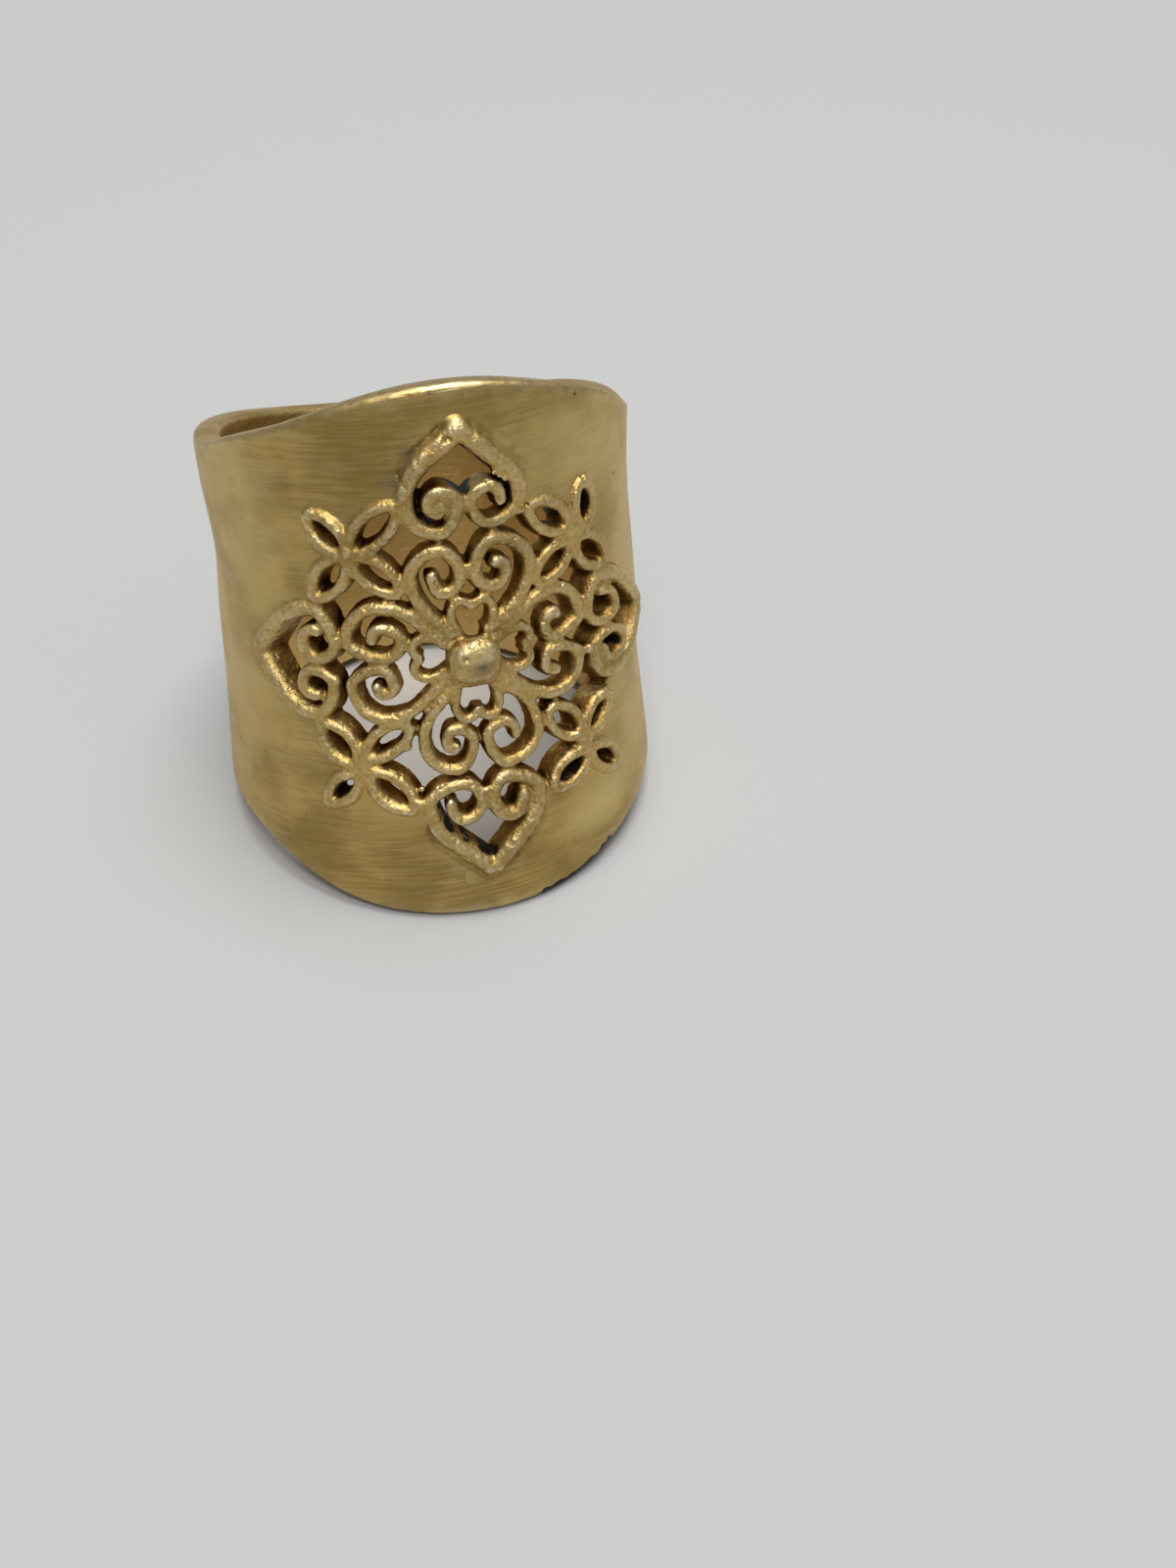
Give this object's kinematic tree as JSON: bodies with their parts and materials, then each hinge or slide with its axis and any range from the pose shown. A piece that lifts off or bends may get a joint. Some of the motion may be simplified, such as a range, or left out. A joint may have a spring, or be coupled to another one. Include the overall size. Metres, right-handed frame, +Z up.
{
  "type": "filigree openwork ring",
  "caption": "Wide cigar band finger ring with a pierced filigree medallion of scrolled hearts and open leaves round a domed boss.",
  "frame": {"origin": "on the ground, under the centre of the bounding box of the ring as it lies on its lower rim", "axes": "+Z up; the medallion faces -Y; +X to the right as the medallion is seen; the bore leans back by 15.6 degrees from +Z towards +Y"},
  "size_m": [0.0208, 0.0252, 0.0247],
  "materials": {
    "gold_metal": "satin"
  },
  "bodies": {
    "root": {"openwork_ring": "gold_metal"}
  },
  "joints": []
}
